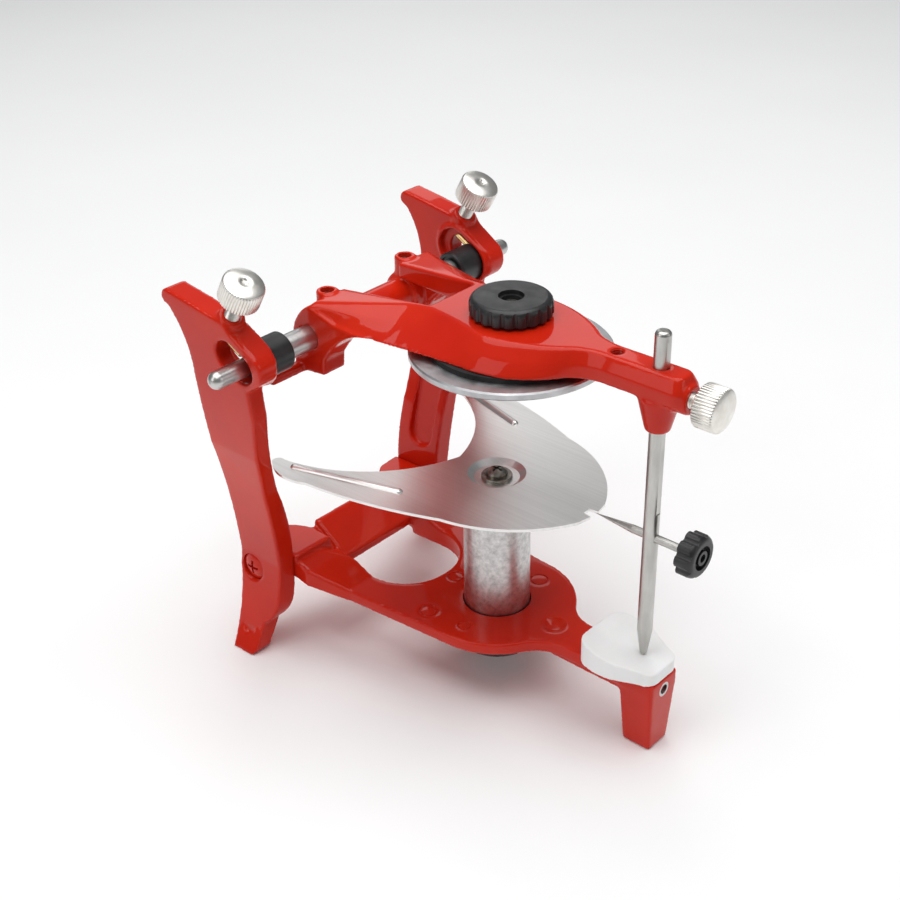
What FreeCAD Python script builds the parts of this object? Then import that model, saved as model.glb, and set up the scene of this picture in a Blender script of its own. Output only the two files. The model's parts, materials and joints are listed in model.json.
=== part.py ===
import FreeCAD, Part
import math
import os
import Sketcher
from FreeCAD import Placement, Rotation, Vector

# Dental articulator, millimetres.  +Z up, the floor is z = 0, the operator's side is -Y and the
# left side is -X.  The condylar axis runs along X at y = condyle_y, z = condyle_z.

doc = FreeCAD.newDocument("articulator")
sheet = doc.addObject("Spreadsheet::Sheet", "sizes")

DRIVING_SIZES = [
    # condylar axis and inclined guide
    ("condyle_y", 53.0), ("condyle_z", 121.7), ("guide_angle", 30.0), ("guide_travel", 8.0),
    ("shaft_r", 4.2), ("stub_r", 3.0), ("shaft_half", 40.4), ("stub_half", 67.8),
    ("roller_r", 6.4), ("roller_inner_x", 40.6), ("roller_outer_x", 52.3), ("running_gap", 0.05),
    ("guide_slot_r", 5.4), ("guide_gap", 0.3), ("guide_face_x", 50.0), ("post_face_x", 51.2),
    ("plunger_r", 1.5), ("plunger_x", 55.0), ("plunger_n", 1.9), ("plunger_length", 14.0),
    # knurled screws
    ("lock_along", 12.4), ("screw_r", 2.5), ("knurl_r", 6.8), ("lock_head_height", 8.3),
    ("lock_head_n", 18.2), ("boss_n", 10.0), ("tip_r", 1.7), ("tip_length", 1.0), ("touch_gap", 0.1),
    # posts
    ("post_screw_z", 30.6), ("post_screw_y", 21.0), ("post_screw_head_r", 5.0), ("post_screw_r", 2.5),
    # lower frame
    ("base_top", 28.0), ("base_bottom", 23.5), ("lobe_top", 37.3), ("plate_ramp_top", 38.6),
    ("lobe_end_x", 37.5), ("rim_bottom", 21.0), ("window_r", 18.6), ("window_rear", 2.0),
    ("column_y", 55.2), ("column_hole_r", 11.9), ("column_seat", 24.5), ("boss_bottom", 20.0),
    ("column_boss_r", 14.5), ("bulge_r", 27.8), ("leg_front", 125.7), ("leg_hole_z", 23.6),
    ("insert_r", 2.6), ("insert_hole_r", 1.7), ("insert_length", 3.2),
    # column, occlusal plate and lower knob
    ("column_top", 76.0), ("column_r", 11.4), ("stud_r", 3.0), ("plate_top", 78.5),
    ("plate_thickness", 1.0), ("bead_height", 1.0), ("bead_r", 1.5), ("plate_screw_r", 2.0),
    ("washer_thickness", 1.0), ("lower_knob_r", 14.5), ("lower_knob_height", 7.3),
    # upper frame
    ("frame_top", 137.5), ("frame_bottom", 128.5), ("ear_inner_x", 15.0), ("ear_outer_x", 29.0),
    ("ear_r", 7.6), ("tail_inner_x", 19.0), ("tube_r", 5.8), ("set_boss_x", 18.5),
    ("set_boss_y", 0.9), ("set_boss_r", 3.7), ("set_boss_top", 134.8), ("set_screw_r", 2.2),
    ("arm_hole_y", 101.4), ("arm_hole_r", 2.1), ("knob_y", 61.1),
    # mounting disc and top knob
    ("disc_r", 32.25), ("disc_top", 126.8), ("disc_thickness", 2.5), ("spacer_r", 26.0),
    ("top_knob_r", 13.15), ("top_knob_top", 143.8),
    # incisal pin, clamp screw and pointer
    ("pin_y", 116.8), ("pin_r", 2.5), ("pin_top", 149.0), ("pin_tip_z", 34.2), ("pin_taper_top", 43.6),
    ("pin_flat_depth", 0.25), ("clamp_z", 130.2), ("clamp_head_y", 131.4), ("clamp_head_length", 8.15),
    ("pointer_z", 79.2), ("pointer_r", 1.35), ("pointer_tip_y", 95.2), ("pointer_knob_y", 130.0),
    ("pointer_knob_r", 7.2), ("pointer_knob_length", 5.8),
]
for row, (alias, value) in enumerate(DRIVING_SIZES, start=1):
    sheet.set("A%d" % row, alias)
    sheet.set("B%d" % row, repr(value))
    sheet.setAlias("B%d" % row, alias)
doc.recompute()


def size(alias):
    """The value of a driving dimension, read back from the spreadsheet."""
    return float(getattr(sheet, alias))


AXIS_Y = size("condyle_y")
AXIS_Z = size("condyle_z")
GUIDE = math.radians(size("guide_angle"))
SIDES = (("left", -1), ("right", 1))


def behind(distance):
    """The y of a point that lies this far in front of (negative: behind) the condylar axis."""
    return AXIS_Y - distance


def guide_point(along, normal):
    """(y, z) of a point given along the inclined guide and square to it, from the condylar axis."""
    y = AXIS_Y + along * math.cos(GUIDE) - normal * math.sin(GUIDE)
    z = AXIS_Z + along * math.sin(GUIDE) + normal * math.cos(GUIDE)
    return y, z


# ---------------------------------------------------------------- helpers for bodies and sketches

def new_body(label):
    body = doc.addObject("PartDesign::Body", label)
    body.Label = label
    return body


def new_sketch(body, role, offset=0.0, turn=None):
    """A sketch on one of the body's origin planes, moved along that plane's normal."""
    sketch = body.newObject("Sketcher::SketchObject", body.Label + "_sketch")
    plane = [item for item in body.Origin.OriginFeatures if item.Role == role][0]
    sketch.AttachmentSupport = [(plane, "")]
    sketch.MapMode = "FlatFace"
    sketch.AttachmentOffset = Placement(Vector(0, 0, offset), turn or Rotation())
    return sketch


def flat(point):
    return Vector(point[0], point[1], 0)


def add_outline(sketch, start, steps):
    """A closed outline.  A step is an end point, or (a point on the way, end point) for an arc."""
    here = start
    for step in steps:
        if isinstance(step[0], tuple):
            through, there = step
            sketch.addGeometry(Part.Arc(flat(here), flat(through), flat(there)))
        else:
            there = step
            sketch.addGeometry(Part.LineSegment(flat(here), flat(there)))
        here = there
    if math.dist(here, start) > 1e-6:
        sketch.addGeometry(Part.LineSegment(flat(here), flat(start)))


def mirrored_outline(start, steps):
    """Closes an outline that is drawn on the +x side from the centre line back to the centre line."""
    back = []
    here_list = [start] + [step[1] if isinstance(step[0], tuple) else step for step in steps]
    for index in range(len(steps) - 1, -1, -1):
        end = (-here_list[index][0], here_list[index][1])
        step = steps[index]
        if isinstance(step[0], tuple):
            back.append(((-step[0][0], step[0][1]), end))
        else:
            back.append(end)
    return start, list(steps) + back


def add_circle(sketch, x, y, alias=None, radius=None):
    """A circle whose radius is bound to a driving dimension, or given as a number."""
    value = size(alias) if alias else radius
    index = sketch.addGeometry(Part.Circle(Vector(x, y, 0), Vector(0, 0, 1), value))
    constraint = sketch.addConstraint(Sketcher.Constraint("Radius", index, value))
    if alias:
        sketch.setExpression("Constraints[%d]" % constraint, "sizes." + alias)
    return index


def add_obround(sketch, first, second, radius):
    """A slot outline round two centres."""
    length = math.dist(first, second)
    ux, uy = (second[0] - first[0]) / length, (second[1] - first[1]) / length

    def at(centre, along, across):
        return centre[0] + along * ux - across * uy, centre[1] + along * uy + across * ux

    add_outline(sketch, at(first, 0, -radius), [
        at(second, 0, -radius),
        (at(second, radius, 0), at(second, 0, radius)),
        at(first, 0, radius),
        (at(first, -radius, 0), at(first, 0, -radius)),
    ])


def add_box(sketch, low, high):
    add_outline(sketch, low, [(high[0], low[1]), high, (low[0], high[1])])


def pad(body, sketch, length, reverse=False):
    """Pads the sketch by a number or by an expression of the spreadsheet."""
    feature = body.newObject("PartDesign::Pad", body.Label + "_pad")
    feature.Profile = sketch
    feature.Reversed = reverse
    set_size(feature, "Length", length)
    doc.recompute()
    return feature


def pocket(body, sketch, length, reverse=False):
    """Cuts the sketch out of the body and makes sure that it removes something."""
    before = body.Shape.Volume
    feature = body.newObject("PartDesign::Pocket", body.Label + "_pocket")
    feature.Profile = sketch
    feature.Reversed = reverse
    set_size(feature, "Length", length)
    doc.recompute()
    if body.Shape.Volume >= before - 1e-6:
        raise RuntimeError("a pocket of %s removes nothing" % body.Label)
    return feature


def set_size(feature, name, value):
    if isinstance(value, str):
        feature.setExpression(name, value)
    else:
        setattr(feature, name, value)


def revolve(body, sketch, angle=360.0, cut=False):
    """Turns the sketch about its own vertical axis."""
    before = body.Shape.Volume if cut else 0.0
    kind = "PartDesign::Groove" if cut else "PartDesign::Revolution"
    feature = body.newObject(kind, body.Label + "_turned")
    feature.Profile = sketch
    feature.ReferenceAxis = (sketch, ["V_Axis"])
    feature.Angle = angle
    doc.recompute()
    if cut and body.Shape.Volume >= before - 1e-6:
        raise RuntimeError("a groove of %s removes nothing" % body.Label)
    return feature


def turned_body(label, profile, placement):
    """A body of revolution.  The profile holds (radius, height) points; its axis is the body's +Z."""
    body = new_body(label)
    sketch = new_sketch(body, "XZ_Plane")
    add_outline(sketch, profile[0], profile[1:])
    revolve(body, sketch)
    body.Placement = placement
    return body


def upright(x, y, z=0.0):
    return Placement(Vector(x, y, z), Rotation())


def along_x(y, z):
    """Turns a body's +Z to the row's +X."""
    return Placement(Vector(0, y, z), Rotation(Vector(0, 1, 0), 90))


def along_minus_y(x, y, z):
    """Turns a body's +Z to the row's -Y."""
    return Placement(Vector(x, y, z), Rotation(Vector(1, 0, 0), 90))


def square_to_guide(x, along, normal):
    """Turns a body's +Z to the normal of the inclined guide."""
    y, z = guide_point(along, normal)
    return Placement(Vector(x, y, z), Rotation(Vector(1, 0, 0), size("guide_angle")))


def parallel_to_guide(x, along, normal):
    """Turns a body's +Z to the rearward direction of the inclined guide."""
    y, z = guide_point(along, normal)
    return Placement(Vector(x, y, z), Rotation(Vector(1, 0, 0), size("guide_angle") - 90))


def cut_hex_socket(body, radius, top, depth):
    """A hexagonal socket in the body's upper face, on its own axis."""
    sketch = new_sketch(body, "XY_Plane", top)
    corners = [(radius * math.cos(math.radians(60 * k)), radius * math.sin(math.radians(60 * k)))
               for k in range(6)]
    add_outline(sketch, corners[0], corners[1:])
    pocket(body, sketch, depth)


# ---------------------------------------------------------------- lower frame

def base_outline():
    """Right half of the base plate seen from above, from the centre line at the rear."""
    bulge = size("bulge_r")
    column = behind(size("column_y"))
    neck, fillet = 8.0, 14.0
    reach = bulge + fillet
    drop = math.sqrt(reach ** 2 - (neck + fillet) ** 2)
    centre = (neck + fillet, column - drop)
    touch = (centre[0] * bulge / reach, column - drop * bulge / reach)
    bulge_angle = math.atan2(touch[1] - column, touch[0]) / 2
    on_bulge = (bulge * math.cos(bulge_angle), column + bulge * math.sin(bulge_angle))
    fillet_mid = (math.atan2(touch[1] - centre[1], touch[0] - centre[0]) + math.pi) / 2
    on_fillet = (centre[0] + fillet * math.cos(fillet_mid), centre[1] + fillet * math.sin(fillet_mid))
    front = behind(size("leg_front"))
    return (0, behind(-5)), [
        (31.0, behind(-5)), (31.0, behind(12)), (bulge, column), (on_bulge, touch),
        (on_fillet, (neck, centre[1])), (7.1, front), (0, front)]


def window_outline():
    """Right half of the window between the side arms."""
    half = size("window_r")
    rear = behind(-size("window_rear"))
    shoulder = behind(12.6)
    return (0, rear), [(half - 0.6, rear), (half, shoulder), ((half * 0.72, shoulder - half * 0.72),
                                                             (0, shoulder - half))]


def make_lower_frame():
    body = new_body("lower_frame")

    plate = new_sketch(body, "XY_Plane", size("base_bottom"))
    add_outline(plate, *mirrored_outline(*base_outline()))
    pad(body, plate, "sizes.base_top - sizes.base_bottom")

    # the arms climb to the lobes that carry the posts
    for _, side in SIDES:
        ramp = new_sketch(body, "YZ_Plane", 17.5 if side > 0 else -size("lobe_end_x"))
        add_outline(ramp, (behind(13), size("base_bottom")), [
            (behind(13), size("base_top")), (behind(-6), 35.4), (behind(-6), 28.0)])
        pad(body, ramp, "sizes.lobe_end_x - 17.5")
        lobe = new_sketch(body, "XY_Plane", 28.0)
        end = side * size("lobe_end_x")
        add_outline(lobe, (end, behind(-6)), [
            (side * 19.8, behind(-6)), (side * 19.6, behind(-13)),
            ((side * 21.9, behind(-21.6)), (side * 28.0, behind(-27.2))), (end, behind(-28))])
        pad(body, lobe, "sizes.lobe_top - 28")
        facet = new_sketch(body, "XZ_Plane", -behind(13))
        add_outline(facet, (side * 17.0, 30.7), [
            (side * 27.5, 36.0), (side * 27.5, 40.0), (side * 17.0, 40.0)])
        pocket(body, facet, 19.0)
        trim = new_sketch(body, "XY_Plane", 22.0)
        add_outline(trim, (side * 31.0, behind(13.5)), [
            (side * 37.4, behind(-1)), (side * 40.0, behind(-1)), (side * 40.0, behind(13.5))])
        pocket(body, trim, 16.0, reverse=True)

    # ramped plate between the lobes, with a web under it that joins them
    ramp_profile = new_sketch(body, "YZ_Plane", -17.6)
    add_outline(ramp_profile, (behind(-1), 25.6), [
        (behind(-1), size("base_top")), (behind(-15.4), size("plate_ramp_top")),
        (behind(-17.4), size("plate_ramp_top")), (behind(-17.4), 30.5), (behind(-10), 27.0)])
    pad(body, ramp_profile, 35.2)
    bridge = new_sketch(body, "YZ_Plane", -21.0)
    add_outline(bridge, (behind(-5), 25.6), [
        (behind(-7), 31.0), (behind(-15.4), 37.1), (behind(-16.4), 37.1), (behind(-16.4), 30.5),
        (behind(-10), 26.5)])
    pad(body, bridge, 42.0)

    window = new_sketch(body, "XY_Plane", 20.0)
    add_outline(window, *mirrored_outline(*window_outline()))
    pocket(body, window, 20.0, reverse=True)

    # deeper wall round the window
    rim = new_sketch(body, "XY_Plane", size("rim_bottom"))
    add_outline(rim, *mirrored_outline(*window_outline()))
    half = size("window_r") + 2.2
    add_outline(rim, *mirrored_outline((0, behind(-2.4)), [
        (half, behind(-2.4)), (half, behind(12.6)),
        ((half * 0.72, behind(12.6) - half * 0.72), (0, behind(12.6) - half))]))
    pad(body, rim, "sizes.base_bottom - sizes.rim_bottom")

    under_ramp = new_sketch(body, "XY_Plane", 20.0)
    add_box(under_ramp, (-18.2, behind(-1.0)), (18.2, behind(-5.5)))
    pocket(body, under_ramp, 5.3, reverse=True)

    # thick neck and the tapering front leg
    neck = new_sketch(body, "XY_Plane", size("rim_bottom"))
    add_box(neck, (-6.6, behind(size("leg_front") - 0.8)), (6.6, behind(84)))
    pad(body, neck, "sizes.base_bottom - sizes.rim_bottom")
    foot = new_sketch(body, "XY_Plane")
    add_box(foot, (-5.2, behind(124.6)), (5.2, behind(113.8)))
    crown = new_sketch(body, "XY_Plane", size("base_bottom"))
    add_box(crown, (-7.1, behind(size("leg_front"))), (7.1, behind(112.6)))
    leg = body.newObject("PartDesign::AdditiveLoft", "front_leg")
    leg.Profile = foot
    leg.Sections = [crown]
    leg.Ruled = True
    doc.recompute()

    # seat of the column with its clamp hole
    seat = new_sketch(body, "XY_Plane", size("boss_bottom"))
    add_circle(seat, 0, behind(size("column_y")), "column_boss_r")
    pad(body, seat, "sizes.base_bottom - sizes.boss_bottom + 1")
    hole = new_sketch(body, "XY_Plane", size("column_seat"))
    add_circle(hole, 0, behind(size("column_y")), "column_hole_r")
    pocket(body, hole, 10.0, reverse=True)
    clamp_hole = new_sketch(body, "XY_Plane", 18.0)
    add_circle(clamp_hole, 0, behind(size("column_y")), radius=size("stud_r") + 0.3)
    pocket(body, clamp_hole, 12.0, reverse=True)

    # shallow round casting marks, and a round dimple behind the table
    for x, y, outer, inner in ((-21.5, 42.5, 3.6, 2.5), (21.5, 42.5, 3.6, 2.5),
                               (-20.0, 57.5, 2.6, 1.7), (17.5, 60.0, 3.4, 2.6), (0.0, 36.2, 3.2, 2.2)):
        ring = new_sketch(body, "XY_Plane", size("base_top"))
        add_circle(ring, x, behind(y), radius=outer)
        add_circle(ring, x, behind(y), radius=inner)
        pocket(body, ring, 0.35)
    dimple = new_sketch(body, "XZ_Plane", -behind(80.5))
    surface, floor = size("base_top"), size("base_top") - 1.8
    add_outline(dimple, (0, floor), [
        (0.3, floor), ((2.4, floor + 0.5), (4.2, surface)), (4.2, surface + 1), (0, surface + 1)])
    revolve(body, dimple, cut=True)

    # bore of the table's peg, cross hole for its grub screw and the seat of the steel insert
    peg = new_sketch(body, "XY_Plane", 20.0)
    add_circle(peg, 0, behind(112.6), radius=size("stud_r") + size("running_gap"))
    pocket(body, peg, 12.0, reverse=True)
    cross = new_sketch(body, "XZ_Plane", -behind(112.6))
    add_circle(cross, 0, size("leg_hole_z"), "insert_hole_r")
    pocket(body, cross, 20.0, reverse=True)
    insert_seat = new_sketch(body, "XZ_Plane", -behind(size("leg_front") - size("insert_length")))
    add_circle(insert_seat, 0, size("leg_hole_z"), "insert_r")
    pocket(body, insert_seat, 10.0, reverse=True)

    # cross holes for the post screws
    for _, side in SIDES:
        tapped = new_sketch(body, "YZ_Plane", side * (size("lobe_end_x") + 1))
        add_circle(tapped, behind(-size("post_screw_y")), size("post_screw_z"), "post_screw_r")
        pocket(body, tapped, 13.0, reverse=side < 0)
    return body


# ---------------------------------------------------------------- posts

def post_band(sketch, side):
    """Front view of a post: it leans outwards as it rises and its foot flares out again."""
    inner = size("post_face_x")
    seat = size("lobe_end_x")
    add_outline(sketch, (side * 46.5, 0), [
        (side * 55.5, 0),
        ((side * 47.8, 17), (side * 44.4, 36)),
        ((side * 48.2, 62), (side * 53.8, 85)),
        ((side * 57.6, 110), (side * 60.0, 137)),
        (side * 60.0, 143), (side * inner, 143), (side * inner, 114),
        ((side * 47.4, 85), (side * 41.0, 62)),
        ((side * 38.4, 50), (side * seat, 38)),
        (side * seat, 27),
        ((side * 40.4, 15), (side * 46.5, 2.5)),
    ])


def post_side_outline(sketch):
    """Side view of a post, front edge to the left."""
    add_outline(sketch, (behind(-15.6), 0), [
        (behind(-24.0), 0), (behind(-27.6), 30), (behind(-25.8), 70), (behind(-24.5), 113),
        ((behind(-25.9), 126), (behind(-31.0), 135.2)),
        ((behind(-33.8), 138.0), (behind(-31.6), 140.6)),
        (behind(-20.5), 139.0), (behind(-4.7), 136.4), (behind(-2.0), 133.0), (behind(6.6), 127.8),
        ((behind(9.6), 123.0), (behind(6.2), 116.8)),
        (behind(1.5), 113.6), (behind(1.5), 102),
        ((behind(-2.4), 84), (behind(-5.4), 68)),
        (behind(-7.0), 34), (behind(-7.0), 21.0),
        ((behind(-8.8), 15.6), (behind(-12.4), 12.0)),
        (behind(-12.9), 3.0), ((behind(-13.6), 0.8), (behind(-15.6), 0)),
    ])


def guide_sketch(body, x, along, normal, turn):
    """A sketch at a point of the inclined guide whose normal is turned about the x axis."""
    y, z = guide_point(along, normal)
    sketch = new_sketch(body, "XY_Plane")
    sketch.AttachmentOffset = Placement(Vector(x, y, z), Rotation(Vector(1, 0, 0), turn))
    return sketch


def make_post(label, side):
    body = new_body(label)
    angle = size("guide_angle")

    band = new_sketch(body, "XZ_Plane", -behind(-36))
    post_band(band, side)
    pad(body, band, 48.0)
    outside = new_sketch(body, "YZ_Plane", side * 36.0)
    add_box(outside, (behind(14), -1), (behind(-38), 145))
    post_side_outline(outside)
    pocket(body, outside, 26.0, reverse=side > 0)

    # collar for the lock screw and raised rim round the guide
    collar = guide_sketch(body, side * size("plunger_x"), size("lock_along"), 7.0, angle)
    add_circle(collar, 0, 0, radius=4.4)
    pad(body, collar, "sizes.boss_n + 0.9 - 7")
    rim = new_sketch(body, "YZ_Plane", side * size("guide_face_x"))
    deep_r = size("roller_r") + size("guide_gap")
    travel = size("guide_travel")
    add_obround(rim, guide_point(0, 0), guide_point(travel, 0), deep_r + 1.6)
    pad(body, rim, 1.5, reverse=side < 0)

    # the guide: a deep slot for the roller and a narrower slot right through for the shaft end
    deep = new_sketch(body, "YZ_Plane", side * (size("roller_outer_x") + size("guide_gap")))
    add_obround(deep, guide_point(0, 0), guide_point(travel, 0), deep_r)
    pocket(body, deep, 6.0, reverse=side < 0)
    through = new_sketch(body, "YZ_Plane", side * 62.0)
    add_obround(through, guide_point(0, 0), guide_point(travel - 2.2, 0), size("guide_slot_r"))
    pocket(body, through, 14.0, reverse=side < 0)

    # bore of the return plunger and tapped hole of the lock screw
    bore = guide_sketch(body, side * size("plunger_x"), 6.0, size("plunger_n"), angle - 90)
    add_circle(bore, 0, 0, radius=size("plunger_r") + size("running_gap"))
    pocket(body, bore, 20.4, reverse=True)
    tapped = guide_sketch(body, side * size("plunger_x"), size("lock_along"), 14.0, angle)
    add_circle(tapped, 0, 0, radius=size("screw_r") + size("running_gap"))
    pocket(body, tapped, 11.0)

    # U-ended recess that follows the lean of the inner face
    lean = 11.5
    recess = new_sketch(body, "YZ_Plane")
    recess.AttachmentOffset = Placement(
        Vector(0, 45, side * 39.9), Rotation(Vector(1, 0, 0), side * lean))
    add_obround(recess, (behind(-15.6), 6.0), (behind(-13.2), 54.0), 5.4)
    pocket(body, recess, 8.0, reverse=side < 0)

    # hole and seat of the post screw, dimple in the foot
    hole = new_sketch(body, "YZ_Plane", side * 36.0)
    add_circle(hole, behind(-size("post_screw_y")), size("post_screw_z"),
               radius=size("post_screw_r") + 0.3)
    pocket(body, hole, 12.0, reverse=side > 0)
    seat = new_sketch(body, "YZ_Plane", side * 42.4)
    add_circle(seat, behind(-size("post_screw_y")), size("post_screw_z"),
               radius=size("post_screw_head_r") + 0.2)
    pocket(body, seat, 8.0, reverse=side > 0)
    dimple = new_sketch(body, "YZ_Plane", side * 50.6)
    add_circle(dimple, behind(-19.0), 9.0, radius=2.8)
    pocket(body, dimple, 8.0, reverse=side > 0)
    pin_hole = new_sketch(body, "YZ_Plane", side * 44.0)
    add_circle(pin_hole, behind(-14.6), 9.5, radius=0.6)
    pocket(body, pin_hole, 14.0, reverse=side > 0)
    return body


def make_post_screw(label, side):
    """Screw with a low domed head and a cross recess, lying along x with its head outwards."""
    head, shank = size("post_screw_head_r"), size("post_screw_r")
    place = Placement(
        Vector(side * 42.4, behind(-size("post_screw_y")), size("post_screw_z")),
        Rotation(Vector(0, 1, 0), side * 90))
    body = turned_body(label, [
        (0, -15.5), (shank - 0.6, -15.5), (shank, -14.9), (shank, 0), (head, 0), (head, 1.6),
        ((head * 0.55, 2.5), (0, 2.8))], place)
    for turn in (0, 90):
        cross = new_sketch(body, "XY_Plane", 3.0)
        half_long, half_wide = (2.6, 0.5) if turn == 0 else (0.5, 2.6)
        add_box(cross, (-half_long, -half_wide), (half_long, half_wide))
        pocket(body, cross, 1.7)
    return body


# ---------------------------------------------------------------- condylar shaft and rollers

def make_shaft():
    stub, main = size("stub_r"), size("shaft_r")
    half, end = size("shaft_half"), size("stub_half")
    tip = end + stub
    bend = stub * math.sqrt(0.5)
    return turned_body("condylar_shaft", [
        (0, -tip), ((bend, -end - bend), (stub, -end)), (stub, -half), (main, -half), (main, half),
        (stub, half), (stub, end), ((bend, end + bend), (0, tip))], along_x(AXIS_Y, AXIS_Z))


def make_roller(label, side):
    """Roller with a bevelled rim and a recess round the shaft on its inboard face."""
    outer = size("roller_r")
    bore = size("stub_r") + size("running_gap")
    length = size("roller_outer_x") - size("roller_inner_x")
    place = Placement(Vector(side * size("roller_inner_x"), AXIS_Y, AXIS_Z),
                      Rotation(Vector(0, 1, 0), side * 90))
    return turned_body(label, [
        (bore, 0.9), (5.2, 0.9), (5.2, 0), (outer - 0.5, 0), (outer, 0.5), (outer, length - 0.5),
        (outer - 0.5, length), (bore, length)], place)


def make_set_screw(label, side):
    """Headless screw that presses on the shaft from above."""
    low = AXIS_Z + size("shaft_r")
    length = 7.2
    radius = size("set_screw_r")
    body = turned_body(label, [
        (0, 0), (radius - 0.8, 0), (radius, 0.8), (radius, length - 0.3), (radius - 0.3, length),
        (0, length)],
        upright(side * size("set_boss_x"), behind(-size("set_boss_y")), low))
    cut_hex_socket(body, 1.25, length, 2.2)
    return body


# ---------------------------------------------------------------- knurled screws, pads and plungers

def thumb_head(low, length):
    """Profile of a knurled head with a domed top, from its lower face to the edge of its centre."""
    head, top = size("knurl_r"), low + length
    rim = top - 0.9
    return [
        (head - 0.5, low), (head, low + 0.5), (head, rim - 1.1),
        ((head - 0.35, rim - 0.4), (head - 1.1, rim)), ((3.7, top - 0.35), (1.6, top))]


def thumb_shank(length):
    shank = size("screw_r")
    return [(0, 0), (shank - 0.5, 0), (shank, 0.5), (shank, length)]


def make_lock_screw(label, side):
    """Thumb screw with a collar under its head and a dimple in the middle of the head."""
    start = size("plunger_n") + size("plunger_r") + size("tip_length") + 2 * size("touch_gap")
    collar_r, collar_length = 4.1, 1.8
    shank_length = size("lock_head_n") - collar_length - start
    neck_top = shank_length + collar_length
    top = neck_top + size("lock_head_height")
    profile = thumb_shank(shank_length) + [(collar_r, shank_length), (collar_r, neck_top)]
    profile += thumb_head(neck_top, size("lock_head_height"))
    profile += [(1.1, top - 0.6), (0, top - 0.6)]
    return turned_body(label, profile,
                       square_to_guide(side * size("plunger_x"), size("lock_along"), start))


def pressure_pad(label, placement):
    radius, length = size("tip_r"), size("tip_length")
    return turned_body(label, [
        (0, 0), (radius - 0.2, 0), (radius, 0.2), (radius, length), (0, length)], placement)


def make_lock_tip(label, side):
    low = size("plunger_n") + size("plunger_r") + size("touch_gap")
    return pressure_pad(label, square_to_guide(side * size("plunger_x"), size("lock_along"), low))


def make_plunger(label, side):
    """Brass rod that pushes the shaft forward; its front end is bevelled."""
    radius, length = size("plunger_r"), size("plunger_length")
    return turned_body(label, [
        (0, 0), (radius - 0.4, 0), (radius, 0.5), (radius, length - 0.3), (radius - 0.3, length),
        (0, length)],
        parallel_to_guide(side * size("plunger_x"), size("stub_r") + 0.3, size("plunger_n")))


def clamp_front_y():
    """Distance in front of the axis at which the clamped face of the incisal pin lies."""
    return size("pin_y") + size("pin_r") - size("pin_flat_depth")


def make_clamp_tip():
    return pressure_pad("front_clamp_tip", along_minus_y(
        0, behind(clamp_front_y() + size("touch_gap")), size("clamp_z")))


def make_clamp_screw():
    start = clamp_front_y() + size("tip_length") + 2 * size("touch_gap")
    neck_top = size("clamp_head_y") - start
    profile = thumb_shank(neck_top) + thumb_head(neck_top, size("clamp_head_length"))
    profile.append((0, neck_top + size("clamp_head_length")))
    return turned_body("front_clamp_screw", profile,
                       along_minus_y(0, behind(start), size("clamp_z")))


# ---------------------------------------------------------------- table, column and plate

def make_table():
    body = new_body("incisal_table")
    outline = new_sketch(body, "XY_Plane", size("base_top"))
    add_outline(outline, *mirrored_outline((0, behind(98)), [
        (6.5, behind(98)), ((10.3, behind(99.6)), (11.9, behind(103))),
        ((12.6, behind(108)), (11.5, behind(114))), (8.3, behind(121.5)),
        ((6.6, behind(124.7)), (3.4, behind(125.6))), (0, behind(125.6))]))
    pad(body, outline, 10.0)
    above = new_sketch(body, "YZ_Plane", -14.0)
    add_outline(above, (behind(97), 37.2), [
        (behind(97), 40), (behind(127), 40), (behind(127), 32.3)])
    pocket(body, above, 28.0, reverse=True)
    peg_low = size("leg_hole_z") + size("insert_hole_r") + 0.5
    peg = new_sketch(body, "XY_Plane", peg_low)
    add_circle(peg, 0, behind(112.6), "stud_r")
    pad(body, peg, size("base_top") - peg_low)
    return body


def make_insert():
    body = new_body("leg_thread_insert")
    ring = new_sketch(body, "XZ_Plane", -behind(size("leg_front") - size("insert_length")))
    add_circle(ring, 0, size("leg_hole_z"), "insert_r")
    add_circle(ring, 0, size("leg_hole_z"), "insert_hole_r")
    pad(body, ring, "sizes.insert_length - 0.1")
    return body


def make_column():
    """Cast column with threaded bores at both ends."""
    radius, low, top = size("column_r"), size("column_seat"), size("column_top")
    stud, screw = size("stud_r"), size("plate_screw_r")
    body = turned_body("column", [
        (stud, low), (radius, low), (radius, top - 1), (radius - 1, top), (0, top), (0, 44),
        (stud, 44)],
        upright(0, behind(size("column_y"))))
    bore = new_sketch(body, "XY_Plane", top)
    add_circle(bore, 0, 0, radius=screw)
    pocket(body, bore, 14.0)
    return body


def stud_body(label, y, low, high):
    """Threaded stud with bevelled ends."""
    radius = size("stud_r")
    return turned_body(label, [
        (0, low), (radius - 0.5, low), (radius, low + 0.5), (radius, high - 0.5),
        (radius - 0.5, high), (0, high)], upright(0, y))


def washer_body(label, y, low, inner, outer):
    thick = size("washer_thickness")
    return turned_body(label, [
        (inner, low), (outer, low), (outer, low + thick - 0.2), (outer - 0.2, low + thick),
        (inner, low + thick)], upright(0, y))


def lobed_outline(sketch, outer, depth, lobes):
    """Edge of a grip knob: rounded lobes with shallow hollows between them."""
    pitch = 2 * math.pi / lobes

    def polar(radius, angle):
        return radius * math.cos(angle), radius * math.sin(angle)

    flank = outer - depth * 0.4
    steps = []
    for lobe in range(lobes):
        middle = lobe * pitch
        steps.append((polar(outer, middle), polar(flank, middle + 0.32 * pitch)))
        steps.append((polar(outer - depth, middle + 0.5 * pitch), polar(flank, middle + 0.68 * pitch)))
    add_outline(sketch, polar(flank, -0.32 * pitch), steps)


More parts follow.
